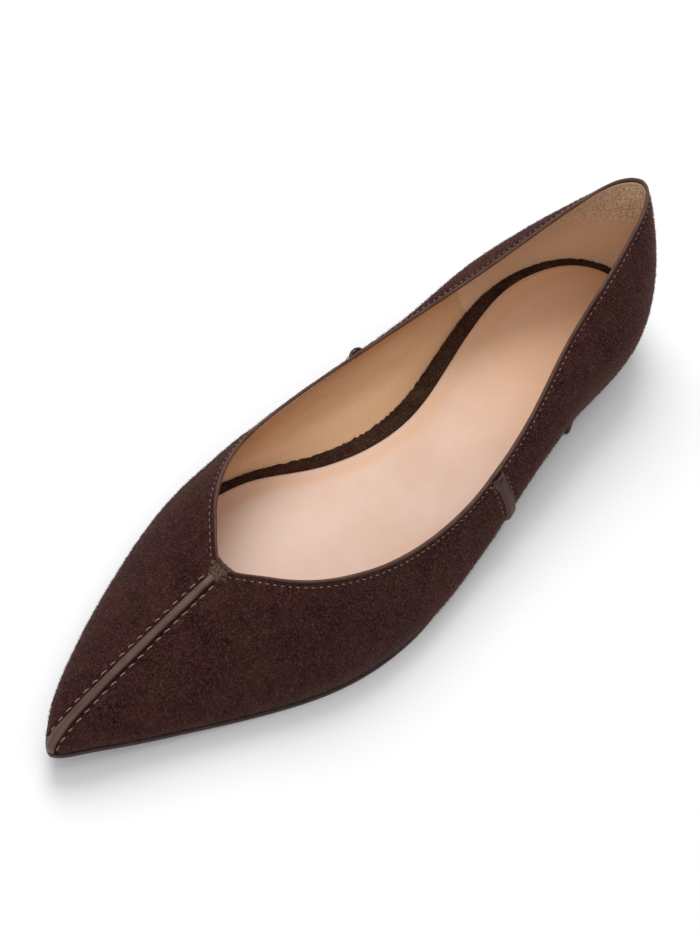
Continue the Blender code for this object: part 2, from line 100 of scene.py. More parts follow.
# Rows of (height, drawn in at the sides, drawn in at the back): the solids' rows with the edges rounded.
HEEL_LEVELS = ((TOP_LIFT_THICKNESS + GAP, 1.8, 3.6), (4.5, 1.45, 2.7), (7.5, 0.8, 1.3), (9.4, 0.45, 0.5),
               (10.0, 0.45, 0.45), (HEEL_SEAT_HEIGHT - GAP, 0.75, 0.8))
TOP_LIFT_LEVELS = ((0.0, 3.0, 5.1), (0.4, 2.5, 4.6), (1.6, 2.1, 4.0), (2.1, 2.1, 3.95),
                   (TOP_LIFT_THICKNESS, 2.4, 4.3))

# Trim and stitching, in millimetres.  Slants and slopes are ratios.
STRIP_HALF_WIDTH = 1.32
STRIP_RAISE = 1.0
TAB_HALF_WIDTH = 1.75
TAB_RAISE = 1.15
FLAP_PROUD = 2.2
TABS = {"lateral": (1, 106.5, 102.5), "medial": (-1, 103.0, 100.0)}
SEAM_STITCHES = {1: 2.05, -1: 2.3}
TAB_STITCHES = 3.2
TOPLINE_STITCHES = 1.7
INNER_STITCHES = 2.4
VAMP_PITCH = 3.2
VAMP_STITCH = 2.15
TOPLINE_PITCH = 2.15
TOPLINE_STITCH = 1.0
VAMP_THREAD = 0.19
TOPLINE_THREAD = 0.14
INNER_STITCH = 1.6
STITCH_BED = 0.22
TOPLINE_BED = 0.18
STITCH_DIVE = 0.22
STITCH_ARCH = 0.40
TOPLINE_SLANT = 0.10
SEAM_SLANT = 0.16
ROW_FROM_TAB = 5.0
ROW_FROM_THROAT = 6.0
INNER_ROW_FROM_THROAT = 8.0
LINING = 0.4
LINING_BACK = LINING + 0.05
TOPLINE_WALL = 0.95
GRIP_FRONT_Y = 57.0
GRIP_LEATHER = 0.28
BAND_UP_WALL = 1.0
BAND_LAP = 0.7
BAND_OVER_INSOLE = 0.1
PAD_CROWN = 0.6
PAD_CREASE = 0.20
PAD_CREASE_FROM_BAND = 5.0
THROAT_CUT = 2.0
THROAT_SLOPE = 0.6
VAMP_FROM_Y = 150.0
SEAM_FROM_Y = 188.0

# Levels on the wall, from 0 at the feather line to 1 at the topline.
LINING_TOP = 0.988
GRIP_TOP = 0.975
STRIP_SPAN = (0.004, 0.972)
TAB_SPAN = (0.01, 0.945)
VAMP_ROW_SPAN = (0.03, 0.955)
TAB_ROW_SPAN = (0.08, 0.86)

# Fibres and loose threads: how many, how thick and, for the nap, how far from the trim, in millimetres.
NAP_FIBRES = 46000
NAP_RADIUS = 0.075
NAP_FROM_TOPLINE = 0.8
NAP_FROM_SEAM = 1.6
NAP_FROM_TAB = 2.2
BAND_FIBRES = 7000
BAND_RIM_FIBRES = 2600
BAND_FIBRE_RADIUS = 0.04
TUFT_THREADS = 170
TUFT_RADIUS = 0.08
CORD_RADIUS = 0.34
LOOP_RADIUS = 0.11

# Lamps: place and size in metres, power in watts.  +x is the outer side and +y the heel.
LAMPS = {
    "key": ((-0.50, 0.34, 0.84), 0.7, 5.9),
    "top": ((0.05, 0.30, 1.20), 1.4, 3.8),
    "front": ((0.45, -0.75, 0.70), 0.8, 2.8),
}
WORLD_LIGHT = 0.38
FLOOR_HALF = 4.0

# The photograph's viewpoint in metres, moved to hold the whole shoe, and its lens and sensor in millimetres.
CAMERA_AT = (0.14527, -0.20073, 0.36215)
CAMERA_AIM = (-0.36287, 0.46083, -0.80991)
CAMERA_RIGHT = (0.71817, 0.69213, 0.07204)
CAMERA_LENS = 53.0
CAMERA_SENSOR = 36.0

# How far the lining swells inwards along the inner side: distance from the heel, swell.
INNER_COVE = ((0.0, 0.0), (40.0, 0.2), (70.0, 0.9), (95.0, 1.15), (130.0, 1.1), (150.0, 1.1), (175.0, 0.6),
              (200.0, 0.0), (256.0, 0.0))

# Soft creases of the suede.  Columns: side, distance from the heel, level on the wall, reach along the shoe,
# reach up the wall as a share of it, and how far the suede stands out.
CREASES = (
    (1, 206.0, 0.60, 14.0, 0.16, -0.40), (1, 176.0, 0.42, 16.0, 0.18, 0.30),
    (1, 121.0, 0.62, 8.0, 0.22, -0.35), (1, 113.0, 0.45, 5.0, 0.30, 0.25),
    (1, 93.0, 0.55, 7.0, 0.25, -0.35), (1, 76.0, 0.40, 12.0, 0.20, 0.30),
    (1, 46.0, 0.62, 10.0, 0.16, -0.30), (1, 30.0, 0.30, 14.0, 0.16, 0.30),
    (-1, 204.0, 0.58, 15.0, 0.16, -0.40), (-1, 158.0, 0.50, 12.0, 0.18, -0.30),
    (-1, 116.0, 0.55, 8.0, 0.24, -0.35), (-1, 90.0, 0.50, 8.0, 0.24, -0.35),
    (-1, 60.0, 0.35, 13.0, 0.20, 0.30), (-1, 32.0, 0.55, 12.0, 0.18, -0.25),
)


# The last's own curves

def cubic(t, step, start, end, leaving, arriving):
    """A cubic from start to end while t goes from 0 to 1 over a step, with its slopes at both ends."""
    return ((1 + 2 * t) * (1 - t) ** 2 * start + t * (1 - t) ** 2 * step * leaving
            + t * t * (3 - 2 * t) * end + t * t * (t - 1) * step * arriving)


def rising_curve(rows, at):
    """A smooth curve through (position, value) rows that never overshoots them, read at given positions."""
    x, y = np.array(rows, float).T
    step, slope = np.diff(x), np.diff(y) / np.diff(x)
    bend = np.zeros(len(x))
    inside = slope[:-1] * slope[1:] > 0
    before, after = 2 * step[1:] + step[:-1], step[1:] + 2 * step[:-1]
    with np.errstate(divide="ignore", invalid="ignore"):
        mean = (before + after) / (before / slope[:-1] + after / slope[1:])
    bend[1:-1][inside] = mean[inside]
    at = np.clip(np.asarray(at, float), x[0], x[-1])
    k = np.clip(np.searchsorted(x, at, side="right") - 1, 0, len(step) - 1)
    t = (at - x[k]) / step[k]
    return cubic(t, step[k], y[k], y[k + 1], bend[k], bend[k + 1])


def sole_underside(y):
    return rising_curve(SOLE_PROFILE, y)


def feather_height(y):
    return sole_underside(y) + SOLE_THICKNESS + GAP


def insole_underside(y):
    return feather_height(y) + UPPER_WALL + GAP


def insole_top(y):
    return insole_underside(y) + rising_curve(INSOLE_THICKNESS, y)


def section_loop():
    """Every section once round the shoe: toe, outer side, heel, inner side."""
    table = [dict(zip(SECTION_COLUMNS, row)) for row in SECTIONS.values()]

    def row(s, side):
        end = "lat" if side > 0 else "med"
        return [side * s["foot_" + end], s["foot_y"], side * s["top_" + end], s["top_y"], s["top_z"],
                s["flare_" + end], s["rise"], s["lean_" + end], s["drop"]]

    return np.array([row(s, 1) for s in table] + [row(s, -1) for s in table[-2:0:-1]])


class ClosedSpline:
    """A smooth closed curve through rows of numbers, by distance along the first columns."""

    def __init__(self, rows, measured):
        self.rows = np.vstack([rows, rows[:1]])
        self.step = np.linalg.norm(np.diff(self.rows[:, :measured], axis=0), axis=1)
        self.at = np.concatenate([[0.0], np.cumsum(self.step)])
        count = len(rows)
        matrix, right = np.zeros((count, count)), np.zeros(rows.shape)
        for i in range(count):
            before, after = self.step[i - 1], self.step[i]
            matrix[i, i - 1] += 1 / before
            matrix[i, i] += 2 / before + 2 / after
            matrix[i, (i + 1) % count] += 1 / after
            right[i] = 3 * ((rows[i] - rows[i - 1]) / before ** 2
                            + (rows[(i + 1) % count] - rows[i]) / after ** 2)
        bend = np.linalg.solve(matrix, right)
        self.bend = np.vstack([bend, bend[:1]])

    def __call__(self, position):
        s = np.mod(np.asarray(position, float), self.at[-1])
        k = np.clip(np.searchsorted(self.at, s, side="right") - 1, 0, len(self.step) - 1)
        t = ((s - self.at[k]) / self.step[k])[..., None]
        step = self.step[k][..., None]
        return cubic(t, step, self.rows[k], self.rows[k + 1], self.bend[k], self.bend[k + 1])


LOOP = ClosedSpline(section_loop(), measured=5)
HEEL_POSITION = LOOP.at[len(SECTIONS) - 1]
ROUND = LOOP.at[-1]


def unit(v):
    return v / np.maximum(np.linalg.norm(v, axis=-1, keepdims=True), 1e-9)


def outward(position):
    """The level direction out of the shoe, square to the feather line."""
    ahead, behind = LOOP(np.asarray(position) + 0.5), LOOP(np.asarray(position) - 0.5)
    along = unit((ahead - behind)[..., :2])
    return np.stack([-along[..., 1], along[..., 0]], axis=-1)


def wall(position, level):
    """A point of the upper's outer face: level 0 is the feather line and 1 the topline."""
    position, level = np.broadcast_arrays(np.asarray(position, float), np.asarray(level, float))
    row = LOOP(position)
    foot = np.concatenate([row[..., :2], feather_height(row[..., 1])[..., None]], axis=-1)
    top = row[..., 2:5]
    out = outward(position)
    flare, rise, lean, drop = (row[..., k:k + 1] for k in (5, 6, 7, 8))
    spread = (foot - top)[..., :2]
    fullness = np.clip(np.sum(spread * out, axis=-1, keepdims=True) / 8.0, 0.0, 1.0)
    reach = unit(10.0 * out + fullness * spread)
    first = foot + np.concatenate([out * flare, rise], axis=-1)
    second = top + np.concatenate([reach * lean, -drop], axis=-1)
    t = level[..., None]
    return ((1 - t) ** 3 * foot + 3 * t * (1 - t) ** 2 * first + 3 * t * t * (1 - t) * second + t ** 3 * top)


def wall_normal(position, level):
    """The direction out of the upper's outer face."""
    level = np.asarray(level, float)
    low, high = np.clip(level - 0.01, 0, 1), np.clip(level + 0.01, 0, 1)
    up = wall(position, high) - wall(position, low)
    along = wall(np.asarray(position) + 0.4, level) - wall(np.asarray(position) - 0.4, level)
    return unit(np.cross(up, along))


def offset_wall(position, level, distance):
    """A point off the upper's outer face: outside it if distance is positive."""
    return wall(position, level) + wall_normal(position, level) * np.asarray(distance, float)[..., None]


def level_at_height(position, height_at, distance):
    """The level where the wall, moved by distance, first stands at the height height_at gives for its y."""
    levels = np.linspace(0.0, 1.0, 161)
    points = offset_wall(position[:, None], levels[None, :], distance)
    over = points[..., 2] - height_at(points[..., 1])
    k = np.maximum(1, np.argmax(over >= 0, axis=1))
    rows = np.arange(len(position))
    past = np.clip(over[rows, k] / (over[rows, k] - over[rows, k - 1]), 0.0, 1.0)
    return levels[k] - (levels[k] - levels[k - 1]) * past


def wall_at_height(position, height_at, distance):
    return offset_wall(position, level_at_height(position, height_at, distance), distance)


def inward_step(point, distance):
    """The point moved level by distance towards the spine of the sole."""
    spine = np.stack([np.full(len(point), SPINE_X), np.clip(point[:, 1], 28.0, 222.0)], axis=-1)
    step = unit(spine - point[:, :2]) * np.asarray(distance)[..., None]
    return point + np.concatenate([step, np.zeros((len(point), 1))], axis=-1)


def edge_x(y, side, edge):
    """x of the feather line, moved out by edge, at y from the heel, on the outer (1) or inner (-1) side."""
    half = np.linspace(0.0 if side > 0 else ROUND, HEEL_POSITION, 900)
    line = LOOP(half)[:, :2] + outward(half) * rising_curve(edge, LOOP(half)[:, 1])[:, None]
    return np.interp(y, line[::-1, 1], line[::-1, 0])


def position_where(axis, value, level, low, high):
    """The place between low and high round the shoe where the wall at this level crosses x or y = value."""
    value, level = np.broadcast_arrays(np.asarray(value, float), np.asarray(level, float))
    low, high = np.full(value.shape, float(low)), np.full(value.shape, float(high))
    below = wall(low, level)[..., axis] < value
    for _ in range(40):
        middle = (low + high) / 2
        same = (wall(middle, level)[..., axis] < value) == below
        low, high = np.where(same, middle, low), np.where(same, high, middle)
    return (low + high) / 2


def seam_position(offset, level):
    """The place round the shoe that lies offset mm beside the vamp seam at this level."""
    near = 0.12 * ROUND
    return position_where(0, wall(0.0, level)[..., 0] + offset, level, -near, near)


def tab_y(tab, level):
    _, top_y, foot_y = TABS[tab]
    return foot_y + (top_y - foot_y) * np.asarray(level)


def tab_position(tab, offset, level):
    """The place round the shoe that lies offset mm behind the middle of a side strip at this level."""
    low, high = (0.2 * ROUND, HEEL_POSITION) if TABS[tab][0] > 0 else (HEEL_POSITION, 0.8 * ROUND)
    return position_where(1, tab_y(tab, level) - offset, level, low, high)


def beside_tab(tab):
    """tab_position for one side strip."""
    return lambda offset, level: tab_position(tab, offset, level)


def around(count, dense_at, width, density):
    """Places once round the shoe, closer together near those in dense_at."""
    fine = np.linspace(0.0, ROUND, 6001)
    weight = np.ones(fine.shape)
    for middle in dense_at:
        apart = np.abs(fine - middle)
        weight += density * np.exp(-(np.minimum(apart, ROUND - apart) / width) ** 2)
    travelled = np.concatenate([[0.0], np.cumsum((weight[1:] + weight[:-1]) / 2)])
    return np.interp(np.arange(count) / count * travelled[-1], travelled, fine)


def drawn_to_ends(share, by):
    """Shares from 0 to 1, moved closer together towards both ends."""
    return share - by * np.sin(2 * math.pi * share) / (2 * math.pi)


def wall_thickness(level):
    """How thick the upper is with its lining: it is pared down towards the topline."""
    rise = np.clip((np.asarray(level, float) - 0.78) / 0.2, 0.0, 1.0)
    return UPPER_WALL - (UPPER_WALL - TOPLINE_WALL) * rise * rise * (3 - 2 * rise)


def below_top(grid):
    """How far each point of a (level, place) grid lies below the last row, along the wall."""
    run = np.linalg.norm(np.diff(grid, axis=0), axis=-1)
    return np.concatenate([np.cumsum(run[::-1], axis=0)[::-1], np.zeros((1, grid.shape[1]))])


def place(points):
    """Last coordinates in millimetres to the frame's metres."""
    p = np.asarray(points, float)
    return np.stack([p[..., 0] - CENTRE_X, CENTRE_Y - p[..., 1], p[..., 2]], axis=-1) * 0.001


# Meshes

def added(name, data):
    """A new object of the scene that shows this mesh, lamp or camera."""
    obj = bpy.data.objects.new(name, data)
    bpy.context.scene.collection.objects.link(obj)
    return obj


def faced_outwards(data):
    """Turns the faces of a closed mesh outwards, where its volume comes out negative."""
    solid = bmesh.new()
    solid.from_mesh(data)
    if solid.calc_volume(signed=True) < 0:
        data.flip_normals()
    solid.free()


def piece(name, points, faces, material, replaces=(), smooth_deg=50.0, values=None):
    """A piece of the shoe from points in last coordinates.  values holds numbers for each point by name."""
    data = bpy.data.meshes.new(name)
    data.from_pydata(place(np.asarray(points).reshape(-1, 3)).tolist(), [], faces)
    faced_outwards(data)
    data.update()
    for key, numbers in (values or {}).items():
        layer = data.attributes.new(key, "FLOAT", "POINT")
        layer.data.foreach_set("value", np.asarray(numbers, np.float32).ravel())
    data.shade_smooth()
    data.set_sharp_from_angle(angle=math.radians(smooth_deg))
    data.materials.append(material)
    obj = added(name, data)
    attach(obj, "root")
    if replaces:
        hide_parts(*replaces)
    return obj


def lofted(rings, wrapped):
    """Faces through rings of points, all turned the same way.  Open lofts are capped at both ends."""
    rows, count = rings.shape[:2]
    index = np.arange(rows * count).reshape(rows, count)
    first, second = (index, np.roll(index, -1, axis=0)) if wrapped else (index[:-1], index[1:])
    quads = np.stack([first, np.roll(first, -1, axis=1), np.roll(second, -1, axis=1), second], axis=-1)
    faces = quads.reshape(-1, 4).tolist()
    if not wrapped:
        faces += [index[0][::-1].tolist(), index[-1].tolist()]
    return faces


def loft(name, rings, material, wrapped, replaces=(), smooth_deg=50.0, values=None):
    """A closed piece lofted through rings of points."""
    rings = np.asarray(rings, float)
    return piece(name, rings, lofted(rings, wrapped), material, replaces, smooth_deg, values)


def tubes(name, centres, normals, radii, material, sides=6, twist=0.0):
    """Many short closed tubes.  centres and normals are (tube, step, 3) and radii (tube, step)."""
    count, steps = centres.shape[:2]
    along = unit(np.gradient(centres, axis=1))
    across = unit(np.cross(normals, along))
    upright = np.cross(along, across)
    turn = np.arange(sides) * 2 * math.pi / sides
    lobes = 1.0 + 0.16 * np.cos(2 * (turn[None, :] - twist * np.linspace(0, 1, steps)[:, None]))
    reach = radii[..., None] * lobes[None]
    points = (centres[:, :, None] + across[:, :, None] * (reach * np.cos(turn))[..., None]
              + upright[:, :, None] * (reach * np.sin(turn))[..., None])
    one = lofted(points[0], wrapped=False)
    faces = [[v + k * steps * sides for v in face] for k in range(count) for face in one]
    piece(name, points, faces, material, smooth_deg=70.0)


def stitches(name, paths, material, pitch, length, slant, thread):
    """Rows of thread stitches.  Each path is a pair of (points, normals) along its row."""
    centres, normals, radii = [], [], []
    steps = np.linspace(0.0, 1.0, 8)
    arch = np.sin(math.pi * steps)
    for points, ups in paths:
        run = np.concatenate([[0.0], np.cumsum(np.linalg.norm(np.diff(points, axis=0), axis=1))])
        count = int(run[-1] / pitch)
        start = (np.arange(count) + 0.5) * run[-1] / count
        own = length * RANDOM.uniform(0.88, 1.08, count)
        at = start[:, None] + own[:, None] * (steps - 0.5)[None]
        centre, up = (np.stack([np.interp(at, run, row[:, k]) for k in range(3)], axis=-1)
                      for row in (points, ups))
        up = unit(up)
        along = unit(np.gradient(centre, axis=1))
        side = np.cross(up, along)
        lean = (slant + RANDOM.normal(0.0, 0.04, count))[:, None] * own[:, None] * (steps - 0.5)[None]
        lift = -STITCH_DIVE + STITCH_ARCH * arch ** 0.6
        centres.append(centre + up * lift[None, :, None] + side * lean[..., None])
        normals.append(up)
        radii.append(np.broadcast_to(thread * (0.55 + 0.45 * arch ** 0.5), (count, len(steps))))
    tubes(name, np.concatenate(centres), np.concatenate(normals), np.concatenate(radii), material,
          twist=9.0)


def fibres(name, bases, directions, lengths, thickness, material):
    """Many fine tapering fibres, each a slim closed pyramid."""
    count = len(bases)
    helper = np.where(np.abs(directions[:, 2:]) < 0.8, [[0.0, 0.0, 1.0]], [[1.0, 0.0, 0.0]])
    across = unit(np.cross(directions, helper))
    other = np.cross(directions, across)
    ring = [bases + thickness * (across * math.cos(a) + other * math.sin(a)) for a in (0.0, 2.094, 4.189)]
    points = np.stack([*ring, bases + directions * lengths[:, None]], axis=1)
    one = np.array([[0, 2, 1], [0, 1, 3], [1, 2, 3], [2, 0, 3]])
    faces = (np.arange(count)[:, None, None] * 4 + one[None]).reshape(-1, 3).tolist()
    piece(name, points, faces, material, smooth_deg=180.0)


def scattered(grid, weight, count):
    """Random points on a (row, place) grid that closes on itself, with the surface's up, along and normal.
    weight says how many of them each cell takes for its area."""
    ahead = np.roll(grid, -1, axis=1)
    up, along = grid[1:] - grid[:-1], (ahead - grid)[:-1]
    normal = np.cross(up, along)
    share = np.linalg.norm(normal, axis=-1) * weight
    cell = RANDOM.choice(share.size, count, p=(share / share.sum()).ravel())
    row, column = np.unravel_index(cell, share.shape)
    a, b = RANDOM.random(count)[:, None], RANDOM.random(count)[:, None]
    low = grid[row, column] * (1 - a) + ahead[row, column] * a
    high = grid[row + 1, column] * (1 - a) + ahead[row + 1, column] * a
    ways = [unit(way[row, column]) for way in (up, along, normal)]
    return low * (1 - b) + high * b, *ways


# Materials

WHITE = (1.0, 1.0, 1.0)


class Finish:
    """A material, its shader's inputs and the nodes that feed them."""

    def __init__(self, name, roughness, specular, sheen=0.0, sheen_roughness=0.5, sheen_tint=WHITE):
        self.material = bpy.data.materials.new(name)
        self.material.use_nodes = True
        self.tree = self.material.node_tree
        self.inputs = self.tree.nodes["Principled BSDF"].inputs
        looks = {"Roughness": roughness, "Specular IOR Level": specular, "Sheen Weight": sheen,
                 "Sheen Roughness": sheen_roughness, "Sheen Tint": (*sheen_tint, 1.0)}
        for key, value in looks.items():
            self.inputs[key].default_value = value
        self.where = self.add("TexCoord").outputs["Object"]

    def feed(self, socket, value):
        """An input takes a link from another node, or a value."""
        if isinstance(value, bpy.types.NodeSocket):
            self.tree.links.new(value, socket)
        else:
            socket.default_value = value

    def add(self, kind, inputs=None, **settings):
        """A shader node with its settings and its inputs."""
        made = self.tree.nodes.new("ShaderNode" + kind)
        for key, value in settings.items():
            setattr(made, key, value)
        for key, value in (inputs or {}).items():
            self.feed(made.inputs[key], value)
        return made

    def held(self, name):
        """A number that the mesh holds for each point."""
        return self.add("Attribute", attribute_name=name).outputs["Fac"]

    def stretched(self, *scale):
        """The place of each point, scaled along x, y and z."""
        return self.add("Mapping", {"Vector": self.where, "Scale": scale}).outputs[0]

    def noise(self, size_mm, detail=3.0, roughness=0.55, distortion=0.0, where=None):
        """Cloudy noise with features of about this size."""
        made = self.add("TexNoise", {"Vector": where or self.where, "Scale": 1000.0 / size_mm,
                                     "Detail": detail, "Roughness": roughness, "Distortion": distortion})
        return made.outputs["Fac"]

    def between(self, value, low, high, start=0.0, end=1.0):
        """value from low to high turned into start to end, held at both ends."""
        made = self.add("MapRange", {"Value": value, "From Min": low, "From Max": high,
                                     "To Min": start, "To Max": end})
        return made.outputs["Result"]

    def mixed(self, factor, a, b, blend="MIX"):
        """Two colours mixed."""
        node = self.add("Mix", data_type="RGBA", blend_type=blend)
        sockets = {s.identifier: s for s in node.inputs}
        for key, value in (("Factor_Float", factor), ("A_Color", a), ("B_Color", b)):
            self.feed(sockets[key], (*value, 1.0) if isinstance(value, tuple) else value)
        return next(s for s in node.outputs if s.identifier == "Result_Color")

    def reckoned(self, operation, *values):
        return self.add("Math", dict(enumerate(values)), operation=operation).outputs[0]

    def summed(self, a, b, share):
        """a plus a share of b."""
        return self.reckoned("MULTIPLY_ADD", b, share, a)

    def coloured(self, colour):
        self.tree.links.new(colour, self.inputs["Base Color"])

    def bumped(self, height, depth_mm, strength):
        made = self.add("Bump", {"Height": height, "Strength": strength, "Distance": depth_mm * 0.001})
        self.tree.links.new(made.outputs["Normal"], self.inputs["Normal"])


def suede(name, dark, olive, fleck, nap_mm=0.6):
    """Napped suede: two browns that run into each other, brushed patches, pale flecks, a furry bump."""
    m = Finish(name, 0.95, specular=0.02, sheen=0.28, sheen_roughness=0.34, sheen_tint=(0.95, 0.44, 0.36))
    streaked = m.stretched(1.0, 0.8, 0.55)
    clouds = m.between(m.noise(20.0, 4.0, 0.6, 0.3), 0.36, 0.64)
    brushed = m.noise(6.0, 5.0, 0.7, 0.6, streaked)
    nap = m.noise(nap_mm, 2.0, 0.7, where=streaked)
    shade = m.between(m.summed(nap, brushed, 1.1), 0.72, 1.38, 0.30, 1.70)
    shades = m.add("CombineColor", {k: shade for k in range(3)}).outputs[0]
    ground = m.mixed(1.0, m.mixed(clouds, dark, olive), shades, "MULTIPLY")
    m.coloured(m.mixed(m.between(nap, 0.58, 0.72, 0.0, 0.75), ground, fleck))
    m.bumped(m.summed(nap, brushed, 0.5), 0.35, 0.7)
    return m.material


def leather(name, colour, worn, roughness, grain_mm, depth_mm, specular, rim=None, rim_from=0.6):
    """Smooth leather: fine cells, faint clouds, a worn paler tone, a soft shine and, on trim, its rims: pale
    cut edges, or dark rims that are painted shade of the crevice beside the trim, with edge paint on the
    vamp strip.
    """
    m = Finish(name, roughness, specular=specular)
    grain = m.add("TexVoronoi", {"Vector": m.where, "Scale": 1000.0 / grain_mm}, feature="SMOOTH_F1")
    clouds = m.noise(6.0, 4.0, 0.6)
    fine = m.noise(grain_mm * 0.8)
    base = m.mixed(m.between(m.summed(clouds, fine, 0.35), 0.5, 0.85), colour, worn)
    # Rims by the mesh's across: dark ones are painted shade in the crevice beside the trim, partly edge
    # paint on the vamp strip; pale ones are cut edges.
    if rim:
        base = m.mixed(m.between(m.reckoned("ABSOLUTE", m.held("across")), rim_from, 0.98), base, rim)
    m.coloured(base)
    m.feed(m.inputs["Roughness"], m.between(clouds, 0.3, 0.7, roughness - 0.07, roughness + 0.08))
    m.bumped(m.summed(grain.outputs["Distance"], fine, 0.5), depth_mm, 0.5)
    return m.material


def lining_leather(name, low, high):
    """Tan lining: paler towards the insole and browner towards the topline, the browning a painted shade,
    with a faint pull of the hide.
    """
    m = Finish(name, 0.5, specular=0.35)
    pull = m.noise(9.0, 4.0, 0.6, 0.5, m.stretched(1.0, 0.35, 1.6))
    fine = m.noise(0.7, 2.0)
    # Painted shade: the lining browns from low to high up the wall, by the mesh's level.
    base = m.mixed(m.between(m.summed(m.held("level"), pull, 0.5), 0.55, 1.2), low, high)
    m.coloured(m.mixed(m.between(fine, 0.4, 0.7, 0.0, 0.25), base, high))
    m.bumped(m.summed(fine, pull, 0.8), 0.12, 0.35)
    return m.material


def grip_leather(name, smooth, low, high):
    """Heel lining: smooth low down, grainy and glinting towards the topline, where the pale grain colour is
    a painted glint.
    """
    m = Finish(name, 0.42, specular=0.6, sheen=0.1)
    rough = m.between(m.summed(m.held("level"), m.noise(5.0), 0.25), 0.58, 0.82)
    fine = m.noise(0.75, 2.0, 0.7)
    # The pale high grains are a painted glint; the dark low ones are the grain's own tone.
    grain = m.mixed(m.between(fine, 0.38, 0.62), low, high)
    m.coloured(m.mixed(rough, smooth, grain))
    m.bumped(m.reckoned("MULTIPLY", fine, m.summed(0.1, rough, 0.9)), 0.5, 0.9)
    return m.material


def sock_leather(name, pale, deep, painted_light_front, heel):
    """Nude insole leather: soft clouds, a tanner heel, a fine grain and raised specks. The front is painted
    paler as painted light. The heel's tan also gives the painted shade beside the band and in the crease,
    and the specks' pale colour is a painted glint.
    """
    m = Finish(name, 0.48, specular=0.4)
    clouds = m.noise(14.0, 3.0, 0.5)
    fine = m.noise(0.6, 2.0, 0.6)
    cells = m.add("TexVoronoi", {"Vector": m.where, "Scale": 1000.0 / 2.6})
    kept = m.between(m.add("SeparateColor", {"Color": cells.outputs["Color"]}).outputs[0], 0.35, 0.5)
    speck = m.reckoned("MULTIPLY", m.between(cells.outputs["Distance"], 0.04, 0.085, 1.0, 0.0), kept)
    along = m.add("SeparateXYZ", {"Vector": m.where}).outputs["Y"]
    base = m.mixed(m.between(clouds, 0.40, 0.85), pale, deep)
    # Painted light: the front of the insole is paler, where the vamp shades it.
    base = m.mixed(m.between(along, 0.0, -0.055, 0.0, 0.85), base, painted_light_front)
    base = m.mixed(m.between(along, 0.022, 0.066, 0.0, 0.85), base, heel)
    # Painted shade in the heel's tan beside the band and along the crease, as held in the mesh's edge.
    base = m.mixed(m.between(m.held("edge"), 0.0, 1.0, 0.0, 0.72), base, heel)
    # The specks are raised bumps; their pale colour is a painted glint.
    m.coloured(m.mixed(m.reckoned("MULTIPLY", speck, 0.8), base, (0.98, 0.88, 0.76)))
    m.bumped(m.summed(m.summed(speck, fine, 0.5), clouds, 0.4), 0.24, 0.55)
    return m.material


def thread_cotton(name, colour, shade):
    m = Finish(name, 0.75, specular=0.2, sheen=0.2)
    m.coloured(m.mixed(m.between(m.noise(0.3, 2.0), 0.35, 0.65), colour, shade))
    return m.material


def sole_finish(name, colour, worn, roughness):
    """Waxed sole edge or rubber: nearly even, with fine marks."""
    m = Finish(name, roughness, specular=0.25)
    marks = m.noise(2.2, 5.0, 0.65)
    m.coloured(m.mixed(m.between(marks, 0.45, 0.75), colour, worn))
    m.bumped(marks, 0.12, 0.4)
    return m.material


def fibre_hair(name, dark, pale):
    m = Finish(name, 0.9, specular=0.1, sheen=0.2)
    m.coloured(m.mixed(m.between(m.noise(1.1, 2.0), 0.4, 0.68), dark, pale))
    return m.material


SUEDE = suede("suede", (0.0385, 0.0103, 0.0118), (0.0450, 0.0160, 0.0112), (0.140, 0.066, 0.049))
BAND = suede("band_suede", (0.036, 0.0155, 0.0105), (0.048, 0.025, 0.0150), (0.11, 0.066, 0.044))
NAP = fibre_hair("nap", (0.028, 0.0085, 0.0085), (0.150, 0.070, 0.053))
# The strip's dark rim is edge paint, with painted shade of the crevice beside it.
STRIP = leather("strip_leather", (0.080, 0.036, 0.025), (0.120, 0.062, 0.045), 0.42, 0.55, 0.08,
                specular=0.4, rim=(0.030, 0.011, 0.008))
TAB = leather("tab_leather", (0.058, 0.0225, 0.0195), (0.090, 0.042, 0.037), 0.48, 0.55, 0.08, specular=0.18,
              rim=(0.150, 0.096, 0.078), rim_from=0.92)
# The fold's dark rim, on its outer lap, is painted shade in the crevice under the fold.
FOLD = leather("fold_leather", (0.082, 0.034, 0.022), (0.130, 0.064, 0.045), 0.50, 0.5, 0.10, specular=0.16,
               rim=(0.030, 0.011, 0.008), rim_from=0.66)
COVER = suede("heel_cover", (0.036, 0.0118, 0.0120), (0.047, 0.0195, 0.0132), (0.082, 0.040, 0.032), 0.5)
# The lining's second, browner colour is painted shade towards the topline.
TAN = lining_leather("tan_lining", (0.74, 0.44, 0.245), (0.52, 0.275, 0.140))
# The grip's pale grain colour is a painted glint.
GRIP = grip_leather("heel_grip", (0.76, 0.52, 0.34), (0.50, 0.31, 0.17), (0.98, 0.80, 0.58))
CUT = leather("cut_edge", (0.86, 0.70, 0.53), (0.92, 0.78, 0.62), 0.6, 0.6, 0.05, specular=0.3)
